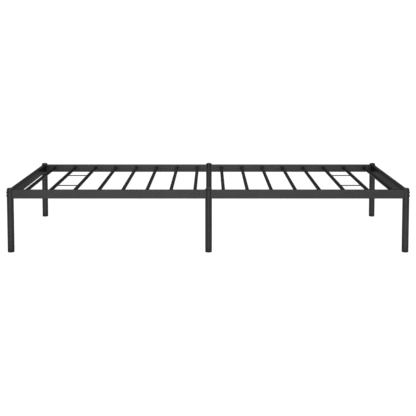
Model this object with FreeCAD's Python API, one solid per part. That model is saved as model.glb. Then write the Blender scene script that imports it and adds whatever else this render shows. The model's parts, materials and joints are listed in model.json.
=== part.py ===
import FreeCAD, Part
import math
import os

# Single metal bed frame in millimetres. +X runs along the bed, +Y across it and +Z up. The origin is
# on the floor under the middle of the frame. Six round legs carry rectangular rails. The two end
# frames (two corner legs and an end rail) bolt to the four half-length side rails, which slide onto
# stubs on the two middle legs. Round slats are welded between the side rails.

V = FreeCAD.Vector
X_AXIS = V(1, 0, 0)
Y_AXIS = V(0, 1, 0)
Z_AXIS = V(0, 0, 1)
FULL_TURN = 360.0

# Layout of the legs, measured to their axes
corner_leg_x = 1023.5
side_y = 465.0
middle_leg_x = 2.5

# Legs, with their plastic caps and feet
leg_radius = 17.5
leg_wall = 1.2
cap_top_z = 337.0
cap_crown_radius = 60.0
cap_edge_radius = 8.0
cap_lip = 0.55
cap_ceiling = 3.0
foot_height = 17.0
foot_edge_radius = 2.5
foot_floor = 5.0
seam_chamfer = 0.5
cap_plug_depth = 8.0
foot_plug_depth = 22.0
plug_gap = 0.2
plug_wall = 2.0

# Rails, all of one rectangular tube
rail_height = 44.5
rail_thickness = 24.5
rail_wall = 1.2
rail_corner_radius = 2.0
rail_axis_z = 304.0

# Slats, evenly spaced in each half, and the thin wires that tie two pairs of them low on their sides
slat_radius = 9.5
slat_wall = 1.0
slat_axis_z = 307.5
slats_per_half = 8
slat_middle_x = 5.5
slat_first_offset = 75.0
slat_pitch = 127.0
wire_radius = 3.0
wire_axis_z = 301.5
wire_y = 179.0
wire_inner_slat = 5

# Bolts through the corner legs into nut blocks in the side rails
bolt_radius = 3.0
bolt_hole_radius = 3.3
thread_gap = 0.05
corner_bolt_length = 50.0
corner_bolt_spacing = 18.0
corner_head_radius = 6.0
corner_head_height = 1.8
head_chamfer = 0.6
nut_block_length = 8.0
nut_block_gap = 0.5
hex_key_width = 4.0
hex_key_depth = 3.0

# Stubs on the middle legs and the screws that hold the side rails on them, from below
stub_length = 80.0
stub_wall = 2.0
stub_gap = 0.2
middle_joint_gap = 0.4
screw_offsets = (38.0, 70.0)
screw_length = 16.0
screw_head_radius = 5.0
screw_head_height = 1.5
screw_head_edge_radius = 0.9
weld_nut_width = 10.0
weld_nut_height = 5.0

# How far a cutting shape passes beyond the wall it cuts
cut_margin = 1.0

# Values worked out from the ones above
plug_radius = leg_radius - leg_wall - plug_gap
bore_radius = plug_radius - plug_wall
dome_height = cap_crown_radius - math.sqrt(
    (cap_crown_radius - cap_edge_radius) ** 2 - (leg_radius - cap_edge_radius) ** 2
)
cap_seam_z = cap_top_z - dome_height - cap_lip
rail_inner_radius = rail_corner_radius - rail_wall
rail_inner_height = rail_height - 2 * rail_wall
rail_inner_thickness = rail_thickness - 2 * rail_wall
rail_bottom_z = rail_axis_z - rail_height / 2
slat_half_length = side_y - rail_thickness / 2
stub_bottom_z = rail_bottom_z + rail_wall + stub_gap
SIDES = {"front": -side_y, "rear": side_y}
ENDS = {"left": -1, "right": 1}


def place_at(shape, x, y):
    """The shape moved from the Z axis to a leg axis."""
    moved = shape.copy()
    moved.translate(V(x, y, 0))
    return moved


def revolve_profile(edges):
    """Solid of revolution about the Z axis from edges that close a profile in the XZ plane."""
    profile = Part.Face(Part.Wire(edges))
    return profile.revolve(V(0, 0, 0), Z_AXIS, FULL_TURN)


def straight_edges(points):
    """Line edges that join (radius, height) points in order."""
    corners = [V(radius, 0, height) for radius, height in points]
    return [Part.LineSegment(a, b).toShape() for a, b in zip(corners, corners[1:])]


def arc_edge(centre, radius, start_angle, end_angle):
    """Arc edge in the XZ plane about (radius, height) centre, between two angles from +X to +Z."""
    angles = (start_angle, (start_angle + end_angle) / 2, end_angle)
    points = [
        V(centre[0] + radius * math.cos(a), 0, centre[1] + radius * math.sin(a)) for a in angles
    ]
    return Part.Arc(*points).toShape()


def rectangular_bar(size, centre, along, corner_radius):
    """Solid bar about a centre point, with its four edges along one direction rounded."""
    bar = Part.makeBox(size.x, size.y, size.z, centre - size * 0.5)
    long_edges = [e for e in bar.Edges if abs(e.tangentAt(e.FirstParameter).dot(along)) > 0.99]
    return bar.makeFillet(corner_radius, long_edges)


def rail_tube(length, centre, along):
    """Rectangular rail tube of a given length along X or Y."""
    across = Y_AXIS if along == X_AXIS else X_AXIS
    outer = along * length + across * rail_thickness + Z_AXIS * rail_height
    inner = along * length + across * rail_inner_thickness + Z_AXIS * rail_inner_height
    shell = rectangular_bar(outer, centre, along, rail_corner_radius)
    return shell.cut(rectangular_bar(inner, centre, along, rail_inner_radius))


def leg_space(x, y, radius):
    """Upright cylinder that a rail end or stub is coped to."""
    return Part.makeCylinder(radius, cap_top_z, V(x, y, 0))


def hex_prism(width, height, start, axis):
    """Hexagonal prism of a given width across flats, from start along an axis."""
    circle_radius = width / math.sqrt(3)
    corners = []
    for step in range(7):
        angle = math.radians(60 * step)
        corners.append(V(circle_radius * math.cos(angle), circle_radius * math.sin(angle), 0))
    prism = Part.Face(Part.makePolygon(corners)).extrude(V(0, 0, height))
    prism.Placement = FreeCAD.Placement(start, FreeCAD.Rotation(Z_AXIS, axis))
    return prism


def corner_bolt_heights():
    """Heights of the two bolts in a corner leg."""
    return (rail_axis_z - corner_bolt_spacing / 2, rail_axis_z + corner_bolt_spacing / 2)


def leg_tube():
    """Round leg tube from the foot's shoulder to the cap's lip."""
    length = cap_seam_z - foot_height
    outer = Part.makeCylinder(leg_radius, length, V(0, 0, foot_height))
    bore = Part.makeCylinder(leg_radius - leg_wall, length, V(0, 0, foot_height))
    return outer.cut(bore)


def corner_leg():
    """Leg tube drilled through along X for the two bolts."""
    leg = leg_tube()
    for z in corner_bolt_heights():
        start = V(-2 * leg_radius, 0, z)
        leg = leg.cut(Part.makeCylinder(bolt_hole_radius, 4 * leg_radius, start, X_AXIS))
    return leg


def leg_cap():
    """Domed plastic cap: a shallow crown, a rounded edge and a hollow plug in the tube."""
    crown_centre = (0, cap_top_z - cap_crown_radius)
    edge_centre = (leg_radius - cap_edge_radius, cap_top_z - dome_height)
    blend = math.atan2(edge_centre[1] - crown_centre[1], edge_centre[0])
    crown = arc_edge(crown_centre, cap_crown_radius, math.pi / 2, blend)
    edge = arc_edge(edge_centre, cap_edge_radius, blend, 0)
    rest = straight_edges(
        [
            (leg_radius, cap_top_z - dome_height),
            (leg_radius, cap_seam_z + seam_chamfer),
            (leg_radius - seam_chamfer, cap_seam_z),
            (plug_radius, cap_seam_z),
            (plug_radius, cap_seam_z - cap_plug_depth),
            (bore_radius, cap_seam_z - cap_plug_depth),
            (bore_radius, cap_seam_z + cap_ceiling),
            (0, cap_seam_z + cap_ceiling),
            (0, cap_top_z),
        ]
    )
    return revolve_profile([crown, edge] + rest)


def leg_foot():
    """Plastic foot: a visible shoe as wide as the tube, with a hollow plug above it."""
    edge_centre = (leg_radius - foot_edge_radius, foot_edge_radius)
    edge = arc_edge(edge_centre, foot_edge_radius, -math.pi / 2, 0)
    rest = straight_edges(
        [
            (leg_radius, foot_edge_radius),
            (leg_radius, foot_height - seam_chamfer),
            (leg_radius - seam_chamfer, foot_height),
            (plug_radius, foot_height),
            (plug_radius, foot_height + foot_plug_depth),
            (bore_radius, foot_height + foot_plug_depth),
            (bore_radius, foot_floor),
            (0, foot_floor),
            (0, 0),
            (leg_radius - foot_edge_radius, 0),
        ]
    )
    return revolve_profile([edge] + rest)


def end_rail(x):
    """Rail across one end of the bed, coped to both corner legs."""
    rail = rail_tube(2 * side_y, V(x, 0, rail_axis_z), Y_AXIS)
    for y in SIDES.values():
        rail = rail.cut(leg_space(x, y, leg_radius))
    return rail


def side_rail(end, y):
    """Half-length side rail, tight on its corner leg and a sliding fit by the middle leg."""
    corner_x = end * corner_leg_x
    centre = V((corner_x + middle_leg_x) / 2, y, rail_axis_z)
    rail = rail_tube(abs(corner_x - middle_leg_x), centre, X_AXIS)
    rail = rail.cut(leg_space(corner_x, y, leg_radius))
    rail = rail.cut(leg_space(middle_leg_x, y, leg_radius + middle_joint_gap))
    for offset in screw_offsets:
        start = V(middle_leg_x + end * offset, y, rail_bottom_z - cut_margin)
        rail = rail.cut(Part.makeCylinder(bolt_hole_radius, rail_wall + 2 * cut_margin, start))
    return rail


def nut_block(end, y):
    """Threaded steel block welded in the corner end of a side rail."""
    face_x = end * (corner_leg_x - leg_radius - nut_block_gap)
    centre = V(face_x - end * nut_block_length / 2, y, rail_axis_z)
    size = V(nut_block_length, rail_inner_thickness, rail_inner_height)
    block = rectangular_bar(size, centre, X_AXIS, rail_inner_radius)
    for z in corner_bolt_heights():
        start = V(centre.x - nut_block_length, y, z)
        hole = Part.makeCylinder(bolt_radius + thread_gap, 2 * nut_block_length, start, X_AXIS)
        block = block.cut(hole)
    return block


def corner_bolt(end, y, z):
    """Flat-headed bolt along X, its head hollowed to sit on the round leg."""
    outer_x = end * (corner_leg_x + leg_radius)
    inward = V(-end, 0, 0)
    shank = Part.makeCylinder(bolt_radius, corner_bolt_length, V(outer_x, y, z), inward)
    top = V(outer_x + end * corner_head_height, y, z)
    head_depth = corner_head_height + leg_radius / 2
    head = Part.makeCylinder(corner_head_radius, head_depth, top, inward)
    outer_rim = [e for e in head.Edges if abs(e.CenterOfMass.x - top.x) < 0.01]
    head = head.makeChamfer(head_chamfer, outer_rim)
    head = head.cut(leg_space(end * corner_leg_x, y, leg_radius))
    return head.fuse(shank).cut(hex_prism(hex_key_width, hex_key_depth, top, inward))


def middle_stub(end, y):
    """Rectangular stub welded to a middle leg, which a side rail slides over."""
    length = leg_radius + stub_length
    centre = V(middle_leg_x + end * length / 2, y, rail_axis_z)
    inset = 2 * stub_gap
    outer = V(length, rail_inner_thickness - inset, rail_inner_height - inset)
    inner = outer - V(0, 2 * stub_wall, 2 * stub_wall)
    stub = rectangular_bar(outer, centre, X_AXIS, rail_inner_radius)
    stub = stub.cut(Part.makeBox(inner.x, inner.y, inner.z, centre - inner * 0.5))
    stub = stub.cut(leg_space(middle_leg_x, y, leg_radius))
    for offset in screw_offsets:
        start = V(middle_leg_x + end * offset, y, stub_bottom_z - cut_margin)
        stub = stub.cut(Part.makeCylinder(bolt_hole_radius, stub_wall + 2 * cut_margin, start))
    return stub


def middle_screw(x, y):
    """Button-headed screw up through the rail and the stub."""
    shank = Part.makeCylinder(bolt_radius, screw_length, V(x, y, rail_bottom_z))
    under = V(x, y, rail_bottom_z - screw_head_height)
    head = Part.makeCylinder(screw_head_radius, screw_head_height, under)
    lower_rim = [e for e in head.Edges if abs(e.CenterOfMass.z - under.z) < 0.01]
    head = head.makeFillet(screw_head_edge_radius, lower_rim)
    return head.fuse(shank).cut(hex_prism(hex_key_width, hex_key_depth, under, Z_AXIS))


def weld_nut(x, y):
    """Hexagonal nut welded on the stub's inner floor."""
    floor = V(x, y, stub_bottom_z + stub_wall)
    nut = hex_prism(weld_nut_width, weld_nut_height, floor, Z_AXIS)
    return nut.cut(Part.makeCylinder(bolt_radius + thread_gap, weld_nut_height, floor))


def slat_offsets():
    """Distances of one half's slats from the middle of the slat set, from the middle outwards."""
    return [slat_first_offset + slat_pitch * step for step in range(slats_per_half)]


def slat_positions():
    """X of every slat from left to right."""
    offsets = slat_offsets()
    left = [slat_middle_x - offset for offset in reversed(offsets)]
    return left + [slat_middle_x + offset for offset in offsets]


def slat(x):
    """Round slat tube between the inner faces of the side rails."""
    start = V(x, -slat_half_length, slat_axis_z)
    length = 2 * slat_half_length
    outer = Part.makeCylinder(slat_radius, length, start, Y_AXIS)
    return outer.cut(Part.makeCylinder(slat_radius - slat_wall, length, start, Y_AXIS))


def tie_wire(end, y):
    """Thin wire between two neighbouring slats, its ends coped to them."""
    inner_offset, outer_offset = slat_offsets()[wire_inner_slat : wire_inner_slat + 2]
    slat_x = sorted(slat_middle_x + end * offset for offset in (inner_offset, outer_offset))
    wire = Part.makeCylinder(
        wire_radius, slat_x[1] - slat_x[0], V(slat_x[0], y, wire_axis_z), X_AXIS
    )
    for x in slat_x:
        start = V(x, y - slat_radius, slat_axis_z)
        wire = wire.cut(Part.makeCylinder(slat_radius, 2 * slat_radius, start, Y_AXIS))
    return wire


def legs_with_caps_and_feet():
    """The six legs, each with its cap and foot."""
    corner, plain = corner_leg(), leg_tube()
    cap, foot = leg_cap(), leg_foot()
    nodes = {}
    for side, y in SIDES.items():
        spots = {"left": (-corner_leg_x, corner), "middle": (middle_leg_x, plain)}
        spots["right"] = (corner_leg_x, corner)
        for spot, (x, tube) in spots.items():
            nodes[f"leg_{side}_{spot}"] = place_at(tube, x, y)
            nodes[f"cap_{side}_{spot}"] = place_at(cap, x, y)
            nodes[f"foot_{side}_{spot}"] = place_at(foot, x, y)
    return nodes


def rails_and_joints():
    """End rails, side rails, stubs, nut blocks, bolts, screws and weld nuts."""
    nodes = {}
    bolts, screws, nuts = [], [], []
    for end_name, end in ENDS.items():
        nodes[f"end_rail_{end_name}"] = end_rail(end * corner_leg_x)
        for side, y in SIDES.items():
            nodes[f"side_rail_{side}_{end_name}"] = side_rail(end, y)
            nodes[f"nut_block_{side}_{end_name}"] = nut_block(end, y)
            nodes[f"middle_stub_{side}_{end_name}"] = middle_stub(end, y)
            bolts += [corner_bolt(end, y, z) for z in corner_bolt_heights()]
            spots = [middle_leg_x + end * offset for offset in screw_offsets]
            screws += [middle_screw(x, y) for x in spots]
            nuts += [weld_nut(x, y) for x in spots]
    nodes["corner_bolts"] = Part.makeCompound(bolts)
    nodes["middle_screws"] = Part.makeCompound(screws)
    nodes["weld_nuts"] = Part.makeCompound(nuts)
    return nodes


def slats_and_wires():
    """The sixteen slats, numbered from the left, and the four tie wires."""
    nodes = {}
    for number, x in enumerate(slat_positions(), start=1):
        nodes[f"slat_{number:02d}"] = slat(x)
    for end_name, end in ENDS.items():
        for side, side_sign in (("front", -1), ("rear", 1)):
            nodes[f"tie_wire_{side}_{end_name}"] = tie_wire(end, side_sign * wire_y)
    return nodes


def main():
    """Writes every piece of the bed frame to its own STEP file."""
    os.makedirs("parts", exist_ok=True)
    nodes = legs_with_caps_and_feet()
    nodes.update(rails_and_joints())
    nodes.update(slats_and_wires())
    for name, shape in nodes.items():
        shape.exportStep(f"parts/{name}.step")


main()
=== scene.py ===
import json
import math

import bpy
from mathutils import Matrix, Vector


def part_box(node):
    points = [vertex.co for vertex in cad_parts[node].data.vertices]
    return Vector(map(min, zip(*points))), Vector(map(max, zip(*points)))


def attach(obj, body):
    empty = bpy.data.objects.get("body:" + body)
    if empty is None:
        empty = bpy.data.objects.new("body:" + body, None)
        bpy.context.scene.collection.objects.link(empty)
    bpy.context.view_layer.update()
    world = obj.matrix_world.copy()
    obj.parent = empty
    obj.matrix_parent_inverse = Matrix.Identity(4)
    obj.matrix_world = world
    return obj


# A black powder-coated single bed frame. The CAD nodes keep their shapes and get procedural
# materials here. The weld beads are built in this script from the places of the CAD nodes.

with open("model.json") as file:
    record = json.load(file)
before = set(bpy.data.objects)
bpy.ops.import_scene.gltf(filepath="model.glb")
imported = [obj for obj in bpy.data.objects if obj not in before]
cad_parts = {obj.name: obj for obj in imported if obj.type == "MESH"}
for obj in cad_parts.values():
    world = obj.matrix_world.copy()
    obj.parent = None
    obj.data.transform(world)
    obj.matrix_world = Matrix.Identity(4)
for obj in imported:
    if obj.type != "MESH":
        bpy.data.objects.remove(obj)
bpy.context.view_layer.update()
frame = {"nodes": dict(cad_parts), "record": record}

# Camera: place and farthest distance seen in metres, pitch in degrees down from level, lens in
# millimetres, and shift as a share of the picture's width
CAMERA_PLACE = (0.0131, -4.870, 1.0786)
FARTHEST_SEEN = 200
CAMERA_PITCH = 4.275
CAMERA_LENS = 74.46
CAMERA_SHIFT = (-0.00624, -0.24)

# Floor, reaching this far from the origin in metres, and background: the white that the camera
# sees, and what lights the object
FLOOR_REACH = 60.0
SEEN_WHITE = 1.05
FLOOR_GREY = (0.8, 0.8, 0.8, 1)
FILL_STRENGTH = 0.35

# Noise in the materials: features per metre of the slow drift in colour and of the clouds in
# roughness, the levels of detail, and the noise values that give the least and the most
DRIFT_SCALE = 9.0
CLOUD_SCALE = 60.0
BROAD_DETAIL = 3.0
PEEL_DETAIL = 2.0
GRAIN_DETAIL = 1.0
NOISE_RANGE = (0.3, 0.7)

# Weld beads, in metres, with the ripples' height as a share of the bead's radius
SLAT_BEAD_RADIUS = 0.0016
RAIL_BEAD_RADIUS = 0.0016
WIRE_BEAD_RADIUS = 0.0009
RIPPLE_LENGTH = 0.0026
RIPPLE_HEIGHT = 0.10
FEWEST_RIPPLES = 6
STEPS_PER_RIPPLE = 5
BEAD_SIDES = 8

# Outer corners of the rectangular tubes, in metres
RAIL_CORNER_RADIUS = 0.002

SIDES = ("front", "rear")
ENDS = ("left", "right")


# ---------------------------------------------------------------- camera, floor and light


def make_camera():
    """Camera in front of the long side, a little above the bed and tilted slightly down."""
    data = bpy.data.cameras.new("camera")
    data.lens = CAMERA_LENS
    data.shift_x, data.shift_y = CAMERA_SHIFT
    data.clip_end = FARTHEST_SEEN
    camera = bpy.data.objects.new("camera", data)
    camera.location = CAMERA_PLACE
    camera.rotation_euler = (math.radians(90 - CAMERA_PITCH), 0, 0)
    bpy.context.scene.collection.objects.link(camera)
    bpy.context.scene.camera = camera


def white_where_seen(tree, lighting, output):
    """Send the output white for what the camera sees, and another shader for what lights the
    object."""
    path = tree.nodes.new("ShaderNodeLightPath")
    mix = tree.nodes.new("ShaderNodeMixShader")
    seen = tree.nodes.new("ShaderNodeEmission")
    seen.inputs["Strength"].default_value = SEEN_WHITE
    tree.links.new(path.outputs["Is Camera Ray"], mix.inputs["Fac"])
    tree.links.new(lighting.outputs[0], mix.inputs[1])
    tree.links.new(seen.outputs[0], mix.inputs[2])
    tree.links.new(mix.outputs[0], output.inputs["Surface"])


def pale_floor():
    """Material of the floor, a plain pale grey to the light."""
    material = bpy.data.materials.new("pale_floor")
    material.use_nodes = True
    nodes = material.node_tree.nodes
    nodes.clear()
    grey = nodes.new("ShaderNodeBsdfDiffuse")
    grey.inputs["Color"].default_value = FLOOR_GREY
    white_where_seen(material.node_tree, grey, nodes.new("ShaderNodeOutputMaterial"))
    return material


def make_floor():
    """Plain pale floor, wide enough to reach the horizon."""
    mesh = bpy.data.meshes.new("floor")
    directions = ((-1, -1), (1, -1), (1, 1), (-1, 1))
    corners = [(x * FLOOR_REACH, y * FLOOR_REACH, 0) for x, y in directions]
    mesh.from_pydata(corners, [], [(0, 1, 2, 3)])
    floor = bpy.data.objects.new("floor", mesh)
    bpy.context.scene.collection.objects.link(floor)
    mesh.materials.append(pale_floor())


def make_world():
    """White background, with a dim even light."""
    world = bpy.data.worlds.new("studio")
    bpy.context.scene.world = world
    world.use_nodes = True
    nodes = world.node_tree.nodes
    nodes.clear()
    fill = nodes.new("ShaderNodeBackground")
    fill.inputs["Strength"].default_value = FILL_STRENGTH
    white_where_seen(world.node_tree, fill, nodes.new("ShaderNodeOutputWorld"))


def softbox(name, place, target, size, power):
    """Rectangular soft light at a place, facing a target: metres and watts."""
    data = bpy.data.lights.new(name, "AREA")
    data.shape = "RECTANGLE"
    data.size, data.size_y = size
    data.energy = power
    light = bpy.data.objects.new(name, data)
    light.location = place
    direction = Vector(target) - Vector(place)
    light.rotation_euler = direction.to_track_quat("-Z", "Y").to_euler()
    light.visible_camera = False
    bpy.context.scene.collection.objects.link(light)


def make_lights():
    """A wide soft light overhead, and a far one in front that lights the rails evenly."""
    softbox(
        "overhead_softbox",
        place=(0, 0, 5.0),
        target=(0, 0, 0),
        size=(7.0, 5.0),
        power=260,
    )
    softbox(
        "front_softbox",
        place=(-0.5, -16.0, 1.9),
        target=(0, 0, 0.25),
        size=(9.5, 3.8),
        power=590,
    )


# ---------------------------------------------------------------- materials


def add(tree, kind, **values):
    """New shader node with the given input values."""
    node = tree.nodes.new(kind)
    for name, value in values.items():
        node.inputs[name.replace("_", " ")].default_value = value
    return node


def noise(tree, scale, detail):
    """Noise over the object's own coordinates, in features per metre."""
    coordinates = tree.nodes.new("ShaderNodeTexCoord")
    node = add(tree, "ShaderNodeTexNoise", Scale=scale, Detail=detail)
    tree.links.new(coordinates.outputs["Object"], node.inputs["Vector"])
    return node


def mapped(tree, noise_node, low, high):
    """A noise value spread from low to high."""
    node = tree.nodes.new("ShaderNodeMapRange")
    node.inputs["From Min"].default_value = NOISE_RANGE[0]
    node.inputs["From Max"].default_value = NOISE_RANGE[1]
    node.inputs["To Min"].default_value = low
    node.inputs["To Max"].default_value = high
    tree.links.new(noise_node.outputs["Fac"], node.inputs["Value"])
    return node.outputs["Result"]


def bumped(tree, relief, detail, below=None):
    """Bump of a noise, over another bump where one is given. The relief is the noise's features
    per metre, its height in metres and its strength."""
    scale, height, strength = relief
    node = add(tree, "ShaderNodeBump", Strength=strength, Distance=height)
    tree.links.new(noise(tree, scale, detail).outputs["Fac"], node.inputs["Height"])
    if below is not None:
        tree.links.new(below, node.inputs["Normal"])
    return node.outputs["Normal"]


def finish_material(name, colours, roughness, grain, peel, metallic=0.0, specular=0.5, edge=1.0):
    """Procedural material: a colour that drifts between two tones, roughness that varies between
    two values, and the reliefs of a fine grain and of a broader peel. Edge scales the reflection
    at grazing angles."""
    material = bpy.data.materials.new(name)
    material.use_nodes = True
    tree = material.node_tree
    shader = tree.nodes["Principled BSDF"]
    shader.inputs["Metallic"].default_value = metallic
    shader.inputs["Specular IOR Level"].default_value = specular
    shader.inputs["Specular Tint"].default_value = (edge, edge, edge, 1)
    drift = noise(tree, DRIFT_SCALE, BROAD_DETAIL)
    blend = tree.nodes.new("ShaderNodeMix")
    blend.data_type = "RGBA"
    blend.inputs["A"].default_value = (*colours[0], 1)
    blend.inputs["B"].default_value = (*colours[1], 1)
    tree.links.new(mapped(tree, drift, 0, 1), blend.inputs["Factor"])
    tree.links.new(blend.outputs["Result"], shader.inputs["Base Color"])
    cloud = noise(tree, CLOUD_SCALE, BROAD_DETAIL)
    tree.links.new(mapped(tree, cloud, *roughness), shader.inputs["Roughness"])
    broad = bumped(tree, peel, PEEL_DETAIL)
    fine = bumped(tree, grain, GRAIN_DETAIL, below=broad)
    tree.links.new(fine, shader.inputs["Normal"])
    return material


def black_powder_coat():
    """Satin black coat on the steel tubes, softly wavy under a fine grain."""
    return finish_material(
        "black_powder_coat",
        colours=((0.051, 0.051, 0.051), (0.056, 0.056, 0.056)),
        roughness=(0.29, 0.35),
        grain=(1500.0, 0.00004, 0.5),
        peel=(320.0, 0.00006, 0.7),
        metallic=0.93,
        edge=0.35,
    )


def black_plastic():
    """Slightly duller moulded plastic of the caps and feet."""
    return finish_material(
        "black_plastic",
        colours=((0.011, 0.011, 0.011), (0.015, 0.015, 0.015)),
        roughness=(0.42, 0.55),
        grain=(2600.0, 0.00004, 0.6),
        peel=(500.0, 0.00005, 0.3),
        specular=0.4,
    )


def black_oxide():
    """Blackened steel of the bolts and screws."""
    return finish_material(
        "black_oxide",
        colours=((0.045, 0.045, 0.046), (0.065, 0.065, 0.066)),
        roughness=(0.30, 0.42),
        grain=(1800.0, 0.00003, 0.3),
        peel=(600.0, 0.00003, 0.2),
        metallic=0.85,
    )


def zinc_plate():
    """Bright plated steel of the hidden nuts and nut blocks."""
    return finish_material(
        "zinc_plate",
        colours=((0.42, 0.42, 0.43), (0.52, 0.52, 0.52)),
        roughness=(0.25, 0.38),
        grain=(900.0, 0.00004, 0.3),
        peel=(200.0, 0.00004, 0.2),
        metallic=1.0,
    )


def make_materials():
    """The four finishes, by the record's material slots."""
    return {
        "frame_paint": black_powder_coat(),
        "black_plastic": black_plastic(),
        "black_bolts": black_oxide(),
        "plain_steel": zinc_plate(),
    }


def paint_nodes(materials):
    """Every CAD node gets the material of its slot in the record."""
    for part in frame["record"]["subparts"]:
        piece = frame["nodes"][part["node"]]
        piece.data.materials.clear()
        piece.data.materials.append(materials[part["material_slot"]])


# ---------------------------------------------------------------- weld beads


def ripple_ring(loop, radius):
    """Vertices and faces of a rippled bead along a closed loop of points."""
    count = len(loop)
    middle = sum(loop, Vector()) / count
    vertices, faces = [], []
    for step, point in enumerate(loop):
        ahead, behind = loop[(step + 1) % count], loop[step - 1]
        along = (ahead - behind).normalized()
        outward = point - middle
        outward = (outward - along * outward.dot(along)).normalized()
        across = along.cross(outward)
        phase = (step % STEPS_PER_RIPPLE) / STEPS_PER_RIPPLE
        rippled = radius * (1 + RIPPLE_HEIGHT * math.sin(math.pi * phase))
        for side in range(BEAD_SIDES):
            angle = math.tau * side / BEAD_SIDES
            offset = outward * math.cos(angle) + across * math.sin(angle)
            vertices.append(point + offset * rippled)
        start, following = step * BEAD_SIDES, (step + 1) % count * BEAD_SIDES
        for side in range(BEAD_SIDES):
            turned = (side + 1) % BEAD_SIDES
            faces.append((start + side, following + side, following + turned, start + turned))
    return vertices, faces


def evenly_spaced(outline, length):
    """Points along a closed loop, a whole number of ripples long. outline(share) gives the point
    at a share of the way round."""
    steps = max(FEWEST_RIPPLES, round(length / RIPPLE_LENGTH)) * STEPS_PER_RIPPLE
    return [outline(step / steps) for step in range(steps)]


def slat_boxes():
    """Lowest and highest corners of every slat."""
    return [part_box(name) for name in sorted(frame["nodes"]) if name.startswith("slat_")]


def rounded_outline(half_width, half_height, corner, share):
    """Point on a rounded rectangle at a share of its way round: up the right side first, and each
    side ends in the bend round its corner's centre."""
    across, up = half_width - corner, half_height - corner
    centres = ((across, up), (-across, up), (-across, -up), (across, -up))
    straights = (2 * up, 2 * across) * 2
    bend = math.pi / 2 * corner
    remaining = share * (sum(straights) + 4 * bend)
    for quarter, straight in enumerate(straights):
        before, centre = centres[quarter - 1], centres[quarter]
        facing = math.pi / 2 * quarter
        if remaining <= straight:
            way = remaining / straight
            return tuple(
                start + (end - start) * way + corner * direction
                for start, end, direction in zip(before, centre, (math.cos(facing), math.sin(facing)))
            )
        remaining -= straight
        if remaining <= bend:
            angle = facing + remaining / corner
            return (centre[0] + corner * math.cos(angle), centre[1] + corner * math.sin(angle))
        remaining -= bend
    return (half_width, -up)


def end_rail_loop(end, side):
    """Loop where an end rail meets a corner leg."""
    low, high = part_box(f"end_rail_{end}")
    leg_low, leg_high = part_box(f"leg_{side}_{end}")
    leg = (leg_low + leg_high) / 2
    leg_radius = (leg_high.x - leg_low.x) / 2
    half_width, half_height = (high.x - low.x) / 2, (high.z - low.z) / 2
    inward = -1 if leg.y > 0 else 1
    def outline(share):
        x, z = rounded_outline(half_width, half_height, RAIL_CORNER_RADIUS, share)
        reach = math.sqrt(leg_radius**2 - x**2)
        return Vector((leg.x + x, leg.y + inward * reach, (low.z + high.z) / 2 + z))
    return evenly_spaced(outline, 4 * (half_width + half_height))


def slat_end_loop(centre, radius):
    """Loop round the end of a slat, on the flat side of its rail."""
    def outline(share):
        angle = math.tau * share
        return centre + Vector((math.cos(angle), 0, math.sin(angle))) * radius
    return evenly_spaced(outline, math.tau * radius)


def slat_loops(side):
    """Loops where the slats meet the side rails of one side."""
    loops = []
    for low, high in slat_boxes():
        centre = (low + high) / 2
        centre.y = low.y if side == "front" else high.y
        loops.append(slat_end_loop(centre, (high.x - low.x) / 2))
    return loops


def wire_end_loop(wire, radius, slat, slat_radius):
    """Loop where a tie wire meets the round side of a slat, from their middle points and radii."""
    facing = 1 if wire.x > slat.x else -1
    def outline(share):
        angle = math.tau * share
        y, z = wire.y + radius * math.cos(angle), wire.z + radius * math.sin(angle)
        reach = math.sqrt(slat_radius**2 - (z - slat.z) ** 2)
        return Vector((slat.x + facing * reach, y, z))
    return evenly_spaced(outline, math.tau * radius)


def wire_loops():
    """Loops where the tie wires meet their slats, each at the slat nearest to the wire's end."""
    slats = [((low + high) / 2, (high.x - low.x) / 2) for low, high in slat_boxes()]
    loops = []
    for side in SIDES:
        for end in ENDS:
            low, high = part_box(f"tie_wire_{side}_{end}")
            wire, radius = (low + high) / 2, (high.z - low.z) / 2
            for end_x in (low.x, high.x):
                slat, slat_radius = min(slats, key=lambda pair: abs(pair[0].x - end_x))
                loops.append(wire_end_loop(wire, radius, slat, slat_radius))
    return loops


def make_beads(name, loops, radius, material):
    """One piece of rippled weld beads along loops."""
    vertices, faces = [], []
    for loop in loops:
        ring_vertices, ring_faces = ripple_ring(loop, radius)
        start = len(vertices)
        vertices += ring_vertices
        faces += [tuple(start + index for index in face) for face in ring_faces]
    mesh = bpy.data.meshes.new(name)
    mesh.from_pydata([tuple(v) for v in vertices], [], faces)
    mesh.materials.append(material)
    mesh.shade_smooth()
    piece = bpy.data.objects.new(name, mesh)
    bpy.context.scene.collection.objects.link(piece)
    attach(piece, "root")


def make_welds(material):
    """Beads of every visible weld."""
    for side in SIDES:
        make_beads(f"slat_welds_{side}", slat_loops(side), SLAT_BEAD_RADIUS, material)
    for end in ENDS:
        loops = [end_rail_loop(end, side) for side in SIDES]
        make_beads(f"end_rail_welds_{end}", loops, RAIL_BEAD_RADIUS, material)
    make_beads("tie_wire_welds", wire_loops(), WIRE_BEAD_RADIUS, material)


# ---------------------------------------------------------------- scene


def main():
    """Stage, materials and welds."""
    bpy.context.scene.view_settings.view_transform = "Standard"
    make_camera()
    make_floor()
    make_world()
    make_lights()
    materials = make_materials()
    paint_nodes(materials)
    make_welds(materials["frame_paint"])


main()
